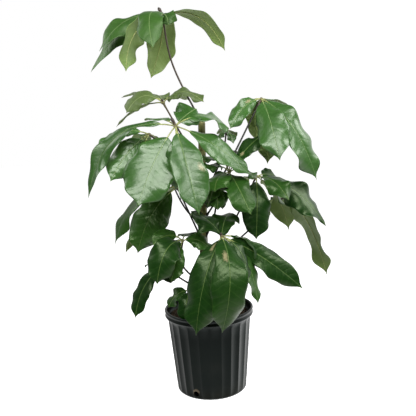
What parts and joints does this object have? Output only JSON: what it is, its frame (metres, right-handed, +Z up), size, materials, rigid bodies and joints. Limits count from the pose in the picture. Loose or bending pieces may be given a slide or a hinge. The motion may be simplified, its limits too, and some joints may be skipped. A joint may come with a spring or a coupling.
{
  "type": "potted umbrella plant",
  "caption": "Potted umbrella plant: fluted nursery pot of soil with one woody trunk that carries long-stalked compound leaves of drooping glossy leaflets.",
  "frame": {"origin": "centre of the pot's flat underside", "axes": "+Z up along the plant, -Y towards the side seen in the picture, +X to that side's right"},
  "size_m": [0.7028, 0.5059, 1.0836],
  "materials": {
    "pot": "satin black moulded plastic",
    "soil": "rough damp potting mix",
    "bark": "smooth olive-brown stem",
    "leaf": "glossy green leaf, paler and matt beneath"
  },
  "bodies": {
    "root": {"pot": "pot", "soil": "soil", "trunk": "bark", "leaf_crown": "leaf", "leaf_upper_left": "leaf", "leaf_centre": "leaf", "leaf_left": "leaf", "leaf_young": "leaf", "leaf_upper_right": "leaf", "leaf_middle_right": "leaf", "leaf_right": "leaf", "leaf_far_right": "leaf", "leaf_front": "leaf", "leaf_lower_left": "leaf", "leaf_low_left": "leaf", "leaf_behind_left": "leaf", "leaf_behind_middle": "leaf", "leaf_at_rim": "leaf", "leaf_back": "leaf", "leaf_back_low": "leaf"}
  },
  "joints": []
}
